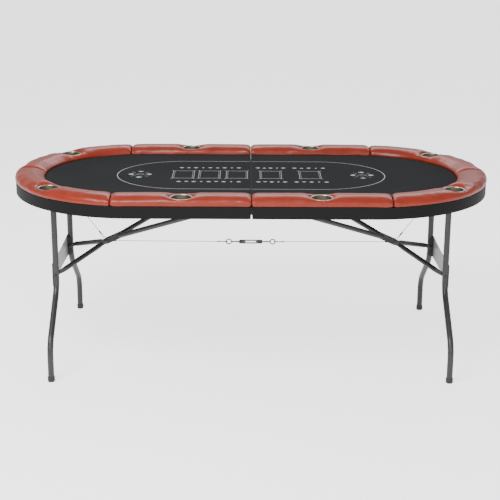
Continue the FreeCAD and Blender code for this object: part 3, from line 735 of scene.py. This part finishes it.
def pip(suit, size):
    """A playing card suit mark, size high."""
    h = size / 2
    if suit == "diamond":
        return [patch([(0, -h), (0.68 * h, 0), (0, h), (-0.68 * h, 0)])]
    stem = [patch([(-0.36 * h, -h), (0.36 * h, -h), (0.09 * h, -0.2 * h), (-0.09 * h, -0.2 * h)])]
    if suit == "club":
        lobes = [(0, 0.48), (-0.46, -0.18), (0.46, -0.18)]
        return [patch(circle(x * h, y * h, 0.44 * h)) for x, y in lobes] + stem
    curve = []
    for t in np.linspace(0, TAU, 37)[:-1]:
        x = 16 * math.sin(t) ** 3
        y = 13 * math.cos(t) - 5 * math.cos(2 * t) - 2 * math.cos(3 * t) - math.cos(4 * t)
        curve.append((x / 17.0 * h, (y + 2.5) / 15.0 * h))
    if suit == "heart":
        return [patch(curve)]
    return [patch([(x, -y * 0.82 + 0.16 * h) for x, y in reversed(curve)])] + stem


def card_box(x):
    """Place for one card: a double outline with flared corners."""
    w, h = 45.0, 69.0
    shells = []
    for inset, width in ((0.0, 2.0), (6.5, 1.1)):
        a, b = w - inset, h - inset
        for sx in (-1, 1):
            shells.append(stroke([(sx * a, -b), (sx * a, b)], width))
            shells.append(stroke([(-a, sx * b), (a, sx * b)], width))
    for sx in (-1, 1):
        for sy in (-1, 1):
            shells.append(stroke([(sx * (w - 8), sy * (h - 8)), (sx * (w + 8), sy * (h + 8))], 1.8))
    return [moved(s, (x, 0, 0)) for s in shells]


def pip_row(x0, x1, y, count, flip):
    """A line of suit marks, upside down for the players across the table."""
    suits = ("spade", "heart", "club", "diamond")
    shells = []
    for i, x in enumerate(np.linspace(x0, x1, count)):
        for s in pip(suits[i % 4], 21.0 if i % 2 == 0 else 17.0):
            shells.append(moved(s, (x, y, 0), np.diag([-1, -1, 1]) if flip else None))
    return shells


def end_ornament(x, sign):
    """Rosette of four suit marks round a lozenge, facing the end of the table."""
    shells = []
    quarter = np.array([[0, -sign, 0], [sign, 0, 0], [0, 0, 1]], float)
    for suit, dx, dy in (("spade", 0, 40), ("diamond", -52, 0), ("heart", 0, -40), ("club", 52, 0)):
        shells += [moved(s, (dx, dy, 0)) for s in pip(suit, 27.0)]
    for size in (22.0, 15.0):
        shells.append(stroke([(0, size), (size * 0.8, 0), (0, -size), (-size * 0.8, 0)], 1.4, True))
    for turn in (45, 135, 225, 315):
        t = math.radians(turn)
        ray = [(r * math.cos(t) * 1.2, r * math.sin(t)) for r in (26.0, 50.0)]
        shells.append(stroke(ray, 1.6))
    return [moved(s, (x, 0, 0), quarter) for s in shells]


def prints():
    """Betting line and table marks, printed on the cloth."""
    straight, wide, end = 286.0, 252.0, 279.0
    ts = np.linspace(0, math.pi, 121)
    curve = [(straight + end * math.sin(t), -wide * math.cos(t)) for t in ts]
    line = [(x, -wide) for x in np.linspace(CLOTH_SEAM, straight, 12)[:-1]] + curve
    line += [(x, wide) for x in np.linspace(straight, CLOTH_SEAM, 12)[1:]]
    betting = stroke(line, 3.4)
    marks = {"right": [betting], "left": [mirrored(betting, 0)]}
    for x in (-286.0, -176.0, -60.0, 83.0, 249.0):
        marks["right" if x > 0 else "left"] += card_box(x)
    for sign in (1, -1):
        flip = sign > 0
        marks["left"] += pip_row(-300.0, -52.0, sign * 126.0, 9, flip)
        marks["right"] += pip_row(30.0, 140.0, sign * 126.0, 5, flip)
        marks["right"] += pip_row(188.0, 312.0, sign * 126.0, 5, flip)
    marks["left"] += end_ornament(-470.0, -1)
    marks["right"] += end_ornament(470.0, 1)
    for side, _ in SIDES:
        v, f = merged(marks[side])
        v[:, 2] = CLOTH_Z + 0.12
        up = []
        for face in f:
            a, b, c = v[face[0]], v[face[1]], v[face[2]]
            up.append(face if np.cross(b - a, c - b)[2] >= 0 else tuple(reversed(face)))
        add(side + "_cloth_print", (v, up), "print", side + "_half", smooth=0)


# --- frame tubes -----------------------------------------------------------------------------
def legs():
    path = route(
        [
            (LEG_X, LEG_Y, PIVOT_Z - 1.0),
            (LEG_X, LEG_Y, PIVOT_Z - 396.0),
            (LEG_X, FOOT_Y, 152.0),
            (LEG_X, FOOT_Y, 3.2),
        ],
        100.0,
    )
    around = 40
    rear = tube(path, LEG_R, around)
    # the top is coped round: it ends as a half cylinder about the pivot
    ring = rear[0][:around]
    dx = ring[:, 0] - LEG_X
    ring[:, 2] = PIVOT_Z + np.sqrt(np.maximum(LEG_R ** 2 - dx ** 2, 0.0))
    front = mirrored(rear, 1)
    add_both("rear_leg_tube", rear, "black_powder_coat", "legs")
    add_both("front_leg_tube", front, "black_powder_coat", "legs")
    bar = tube([(LEG_X, y, PIVOT_Z) for y in np.linspace(-LEG_Y + 2, LEG_Y - 2, 24)], LEG_R, around, False)
    add_both("leg_crossbar", bar, "black_powder_coat", "legs")
    profile = [(0, 0), (13.2, 0), (14.4, 1.4), (14.8, 6), (14.8, 20.8), (12.7, 22.0), (LEG_R, 21)]
    cap = lathe(rounded(profile, 0.8), 48)
    add_both("foot_caps", two_sided(moved(cap, (LEG_X, FOOT_Y, 0))), "black_plastic", "legs")


def hexagon(radius, z0, z1, ease=0.7):
    """Hexagon head with eased corners."""
    rings = []
    for z, r in ((z0, radius - ease), (z0 + ease, radius), (z1 - ease, radius), (z1, radius - ease)):
        rings.append([(r * math.cos(t), r * math.sin(t), z) for t in np.arange(6) * TAU / 6])
    return np.array(rings).reshape(-1, 3), ring_faces(4, 6)


def bolts():
    """Bolts through a leg tube, the gusset's flange and the brace's tab, nut innermost."""
    corner_r, high, shank = 7.0, 4.0, 3.9
    inside = LOWER_TAB_Y - TAB_HALF - 0.6 - high
    outside = LEG_Y + LEG_R
    tip, stop = inside - 1.6, outside + 1
    parts = [
        hexagon(corner_r, inside, inside + high),
        hexagon(corner_r, outside + 0.2, outside + high),
        lathe([(0, tip), (shank - 0.5, tip), (shank, inside - 1.0), (shank, stop), (0, stop)], 32),
    ]
    shell = moved(merged(parts), (LEG_X, 0, BOLT_Z), TO_Y)
    add_both("brace_bolts", two_sided(shell), "zinc_plated_steel", "legs")


def arm_profile(points, tab_r, start_flat):
    """Centres and sections of a tube flattened to a tab at its end, and at its start too if asked."""
    flat_end, change = 27.0, 31.0           # length left flat, and length over which it turns round
    path = route(points, 18.0, 2.0)
    fine = [path[0]]
    for a, b in zip(path, path[1:]):
        n = max(1, int(np.linalg.norm(b - a) / 4.0))
        fine += [a + (b - a) * i / n for i in range(1, n + 1)]
    path = np.array(fine)
    run = np.concatenate([[0], np.cumsum(np.linalg.norm(np.diff(path, axis=0), axis=1))])
    whole = run[-1]
    halves = []
    for s in run:
        flat, tip = 0.0, 1.0
        for d in (s, whole - s) if start_flat else (whole - s,):
            flat = max(flat, 1 - min(max((d - flat_end) / change, 0.0), 1.0))
            if d < tab_r:
                tip = math.sqrt(max(1 - ((tab_r - d) / tab_r) ** 2, 0.002))
        flat = flat * flat * (3 - 2 * flat)
        high = ARM_R + (tab_r - ARM_R) * flat
        wide = ARM_R + (TAB_HALF - ARM_R) * flat
        halves.append((high * tip, wide, 2.0 + 3.0 * flat))
    return path, halves


def braces():
    up = (0, 0, 1)
    knee = (KNEE_X, 0, KNEE_Z)
    centre, halves = arm_profile(
        [(60, 11.0, 0), (UPPER_ARM - 30, BRACE_Y, 0), (UPPER_ARM + TAB_R, BRACE_Y, 0)], TAB_R, False
    )
    arm = moved(two_sided(loft(centre, halves, up, 32)), knee, turn_y(math.pi + UPPER_SLOPE))
    add_both("upper_brace_arms", arm, "black_powder_coat", "upper_brace")

    tab_r, tab_y = 8.6, 15.6                # the rounded end and the place of a short arm's tab at the knee
    line = [(-8.5, tab_y, 0), (16, tab_y, 0), (LOWER_ARM - 22, LOWER_TAB_Y, 0)]
    centre, halves = arm_profile(line + [(LOWER_ARM + tab_r, LOWER_TAB_Y, 0)], tab_r, True)
    # a low boss on the outer face of the tab, round the knee pin
    boss = lathe(rounded([(0, 17.4), (6.0, 17.4), (6.0, 20.2), (0, 20.9)], 0.8), 32)
    arm = two_sided(merged([loft(centre, halves, up, 32), moved(boss, (0, 0, 0), TO_Y)]))
    add_both("lower_brace_arms", moved(arm, knee, turn_y(LOWER_SLOPE)), "black_powder_coat", "lower_brace")


# --- wires -----------------------------------------------------------------------------------
def spaced(points, gap):
    """The polyline resampled at even gaps."""
    pts = np.asarray(points, float)
    run = np.concatenate([[0], np.cumsum(np.linalg.norm(np.diff(pts, axis=0), axis=1))])
    at = np.linspace(0, run[-1], max(3, int(run[-1] / gap) + 1))
    return np.column_stack([np.interp(at, run, pts[:, i]) for i in range(3)])


def rope(points, radius, pitch=11.0, strands=6, gap=1.1):
    """Wire rope: strands laid round a core."""
    line = spaced(points, gap)
    one, two = frames(line)
    run = np.arange(len(line)) * np.linalg.norm(line[1] - line[0])
    strand = radius / 3.0
    shells = [tube(line, strand * 1.02, 6)]
    for k in range(strands):
        turn = run / pitch * TAU + k * TAU / strands
        path = line + (np.cos(turn)[:, None] * one + np.sin(turn)[:, None] * two) * strand * 2
        shells.append(tube(path, strand * 1.02, 7))
    return merged(shells)


def eye_line(ferrule, centre, radius, normal):
    """Middle line of a wire that leaves a ferrule, rounds a pin and comes back."""
    ferrule, centre, normal = (np.asarray(v, float) for v in (ferrule, centre, normal))
    along = centre - ferrule
    reach = np.linalg.norm(along)
    along /= reach
    side = np.cross(normal, along)
    strand = WIRE_R + 0.15
    slant = math.hypot(reach, strand)
    turn = math.asin(radius / slant) - math.atan2(strand, reach)
    run = math.sqrt(slant ** 2 - radius ** 2)
    a, s = run * math.cos(turn), strand + run * math.sin(turn)
    start = math.atan2(s, a - reach)
    arc = [(reach + radius * math.cos(t), radius * math.sin(t)) for t in np.linspace(start, -start, 25)]
    line = [(0.0, strand)] + arc + [(0.0, -strand)]
    return np.array([ferrule + along * u + side * w for u, w in line])


def sleeve(start, end):
    """Centres and sections of an oval pressed sleeve with two crimps."""
    start, end = np.asarray(start, float), np.asarray(end, float)
    length = np.linalg.norm(end - start)
    halves = []
    for t in np.linspace(0, 1, 41):
        edge = min(t, 1 - t) * length
        ease = math.sqrt(min(1.0, edge / 0.8 + 0.25))
        crimp = 1 - 0.16 * (math.exp(-(((t - 0.3) / 0.07) ** 2)) + math.exp(-(((t - 0.7) / 0.07) ** 2)))
        halves.append((2.95 * ease / math.sqrt(crimp), 2.3 * ease * crimp, 2.4))
    path = start + (end - start) * np.linspace(0, 1, 41)[:, None]
    return path, halves


def toward(a, b, distance):
    a, b = np.asarray(a, float), np.asarray(b, float)
    return a + (b - a) / np.linalg.norm(b - a) * distance


def wires():
    knee, knee_side = (KNEE_X, 0, KNEE_Z), (KNEE_X, STAY_Y, KNEE_Z)
    bar = (LEG_X, STAY_Y, PIVOT_Z)
    eye_x = EYE_X + EYE_R - EYE_WIRE
    eye, loop = (eye_x, 0, TIE_Z), (eye_x + LOOP_R - WIRE_R - PLAY, 0, TIE_Z)
    tie_loop, stay_loop = 24.0, 38.0        # from the middle of a loop to its sleeve
    tie_out = toward(knee, eye, tie_loop)
    tie_out_end = toward(tie_out, eye, SLEEVE_LENGTH)
    tie_in = toward(loop, knee, tie_loop)
    tie_in_end = toward(tie_in, knee, SLEEVE_LENGTH)
    stay_low = toward(knee_side, bar, stay_loop)
    stay_low_end = toward(stay_low, bar, SLEEVE_LENGTH)
    stay_top = toward(bar, knee_side, stay_loop)
    stay_top_end = toward(stay_top, knee_side, SLEEVE_LENGTH)
    pin, ring = PIN_R + PLAY + WIRE_R, LEG_R + PLAY + WIRE_R

    loops = merged([
        rope(eye_line(tie_out, knee, pin, (0, 1, 0)), WIRE_R),
        rope(eye_line(tie_in, loop, LOOP_R, (0, 0, 1)), WIRE_R),
        rope(eye_line(stay_low, knee_side, pin, (0, 1, 0)), WIRE_R),
        rope(eye_line(stay_top, bar, ring, (0, 1, 0)), WIRE_R),
    ])
    sleeves = []
    for a, b, up in (
        (tie_out, tie_out_end, (0, 0, 1)),
        (tie_in, tie_in_end, (0, 1, 0)),
        (stay_low, stay_low_end, (0, 0, 1)),
        (stay_top, stay_top_end, (0, 0, 1)),
    ):
        way = (b - a) / np.linalg.norm(b - a)
        up = np.asarray(up, float)
        up -= way * (up @ way)
        path, halves = sleeve(a, b)
        sleeves.append(loft(path, halves, up / np.linalg.norm(up), 28))
    sleeves = merged(sleeves)
    for side, sign in SIDES:
        def own(shell):
            return shell if sign > 0 else mirrored(shell, 0)

        def flat(piece, z):
            z * MM
            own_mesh(piece)

        half, at = side + "_half", np.array([sign, 1, 1])
        node = side + "_wire_fittings"
        crimps = add(node + "_sleeves", own(sleeves), "wire_ferrules", half, [node])
        eyes = add(node + "_eyes", own(loops), "steel_wire", half, [node])
        for piece in (crimps, eyes):
            flat(piece, 724.0)
        for name, a, b, z in (
            ("tie_wire", tie_in_end, tie_out_end, 724.0),
            ("stay_wire", stay_top_end, stay_low_end, 710.0),
        ):
            a, b = toward(a, b, -1.5) * at, toward(b, a, -1.5) * at
            piece = add(f"{side}_{name}_rope", rope([a, b], WIRE_R), "steel_wire", half, [f"{side}_{name}"])
            flat(piece, z)
            path = [tuple(p * MM) for p in spaced([a, b], 10.0)]
            tuple(a * MM)
            float(np.linalg.norm(b - a) * MM)


def screw_shank(x0, x1, radius, pitch, hand, around=28):
    """Threaded bar along X."""
    steps = int((x1 - x0) / pitch * 7)
    verts = []
    for i in range(steps + 1):
        x = x0 + (x1 - x0) * i / steps
        fade = min(1.0, (x - x0) / 1.5, (x1 - x) / 6.0)
        for j in range(around):
            t = j * TAU / around
            phase = (x / pitch + hand * t / TAU) % 1.0
            depth = 0.55 * abs(2 * phase - 1) * max(fade, 0.0)
            r = radius - depth
            verts.append((x, r * math.cos(t), r * math.sin(t)))
    return np.array(verts), ring_faces(steps + 1, around)


def turnbuckle():
    """Two threaded eyes drawn together by an open frame."""
    around = [(x, 0, z) for x, z in circle(EYE_X, TIE_Z, EYE_R, 56)]
    eye = tube(around, EYE_WIRE, 24, False, True)
    root = EYE_X - EYE_R - 5.0              # the screw's end of the neck, which overlaps the shank by 1
    neck = tube([(root + i, 0, TIE_Z) for i in (0, 2, 4, 6)], [SCREW_R, 2.75, 2.5, EYE_WIRE], 24)
    for side, sign in SIDES:
        shank = screw_shank(22.0, EYE_X - EYE_R - 4.0, SCREW_R, SCREW_PITCH, sign)
        shell = merged([eye, moved(shank, (0, 0, TIE_Z)), neck])
        if sign < 0:
            shell = mirrored(shell, 0)
        node = side + "_eye_bolt"
        add(node + "_skin", shell, "zinc_plated_steel", "tie_eyes", [node], 50.0)
    refined("turnbuckle_body", "zinc_plated_steel", "turnbuckle", 0.9)


# --- the rest keeps its CAD shape ------------------------------------------------------------
def hardware():
    for name, paint, body, bevel in (
        ("playing_board", "black_stained_plywood", "half", 0.3),
        ("apron", "black_laminate", "half", 0.9),
        ("centre_rail", "black_stained_plywood", "half", 0.8),
        ("foam_underlay", "foam", "half", 0.0),
        ("leg_saddles", "black_painted_steel", "half", 0.7),
        ("brace_clevises", "black_painted_steel", "half", 0.5),
        ("brace_rivets", "zinc_plated_steel", "half", 0.5),
        ("bracket_screws", "zinc_plated_steel", "half", 0.6),
        ("gusset_plate", "grey_painted_sheet", "legs", 0.5),
        ("knee_block", "black_painted_steel", "upper_brace", 0.8),
        ("knee_pin", "zinc_plated_steel", "upper_brace", 0.3),
        ("hinge_leaves", "black_painted_steel", "half", 0.4),
    ):
        refined_both(name, paint, body, bevel)
    refined("hinge_pins", "zinc_plated_steel", "left_half", 0.3)
    # painted light and shade: the gusset's sheet is painted a lit grey that stands for the light it catches,
    # and its flanges beside the legs are black as painted shade, chosen by the way each face turns
    sheet_x = (LEG_X + LEG_R - 0.1) * MM
    for side, _ in SIDES:
        plate = bpy.data.objects[side + "_gusset_plate_skin"]
        plate.data.materials.append(PAINTS["black_painted_steel"].material)
        for face in plate.data.polygons:
            if abs(face.normal.y) > 0.5 or abs(face.center.x) < sheet_x:
                face.material_index = 1


# --- room ------------------------------------------------------------------------------------
def light(name, place, target, size, power):
    data = bpy.data.lights.new(name, "AREA")
    data.shape = "RECTANGLE"
    data.size, data.size_y = size
    data.energy = power
    obj = bpy.data.objects.new(name, data)
    obj.location = place
    obj.rotation_euler = (Vector(target) - Vector(place)).to_track_quat("-Z", "Y").to_euler()
    bpy.context.scene.collection.objects.link(obj)


def room():
    floor = bpy.data.meshes.new("floor")
    a, glow = 40.0, 0.75
    floor.from_pydata([(-a, -a, 0), (a, -a, 0), (a, a, 0), (-a, a, 0)], [], [(0, 1, 2, 3)])
    obj = bpy.data.objects.new("floor", floor)
    pale = Paint("floor", (0.9, 0.9, 0.9), 0.8)
    pale.set("Emission Color", (1.0, 1.0, 1.0, 1.0))
    # the floor is brighter to the camera than to the table, which it lights only softly
    seen = Value(pale, pale.node("ShaderNodeLightPath").outputs["Is Camera Ray"])
    pale.set("Emission Strength", seen + glow)
    floor.materials.append(pale.material)
    bpy.context.scene.collection.objects.link(obj)
    world = bpy.data.worlds.new("studio")
    world.use_nodes = True
    background = world.node_tree.nodes["Background"]
    background.inputs["Color"].default_value = (0.97, 0.98, 1.0, 1.0)
    background.inputs["Strength"].default_value = 0.62
    bpy.context.scene.world = world
    light("key", (-1.6, -2.4, 3.6), (0, 0, 0.7), (2.4, 1.6), 175.0)
    light("back", (0.6, 3.2, 3.0), (0, 0, 0.75), (4.0, 1.2), 55.0)
    light("strip", (0, -3.4, 1.5), (0, -0.5, 0.77), (5.0, 0.10), 45.0)


def camera():
    """Long lens from the front, a little above the rail."""
    pitch, yaw, roll = 0.287696680, 0.00418699841, 0.00543760604
    way = Vector((math.sin(yaw) * math.cos(pitch), math.cos(yaw) * math.cos(pitch), -math.sin(pitch)))
    right = Vector((math.cos(yaw), -math.sin(yaw), 0))
    up = right.cross(way)
    tilted = right * math.cos(roll) + up * math.sin(roll)
    upward = up * math.cos(roll) - right * math.sin(roll)
    data = bpy.data.cameras.new("camera")
    data.lens, data.sensor_width = 85.989, 36.0
    data.shift_y = -0.01947
    data.clip_end = 200.0
    obj = bpy.data.objects.new("camera", data)
    turned = Matrix((tilted, upward, -way)).transposed().to_4x4()
    obj.matrix_world = Matrix.Translation((-0.02382, -4.93058, 1.92894)) @ turned
    bpy.context.scene.collection.objects.link(obj)
    bpy.context.scene.camera = obj


cushions()
cups()
cloth()
prints()
legs()
bolts()
braces()
wires()
turnbuckle()
hardware()
room()
camera()
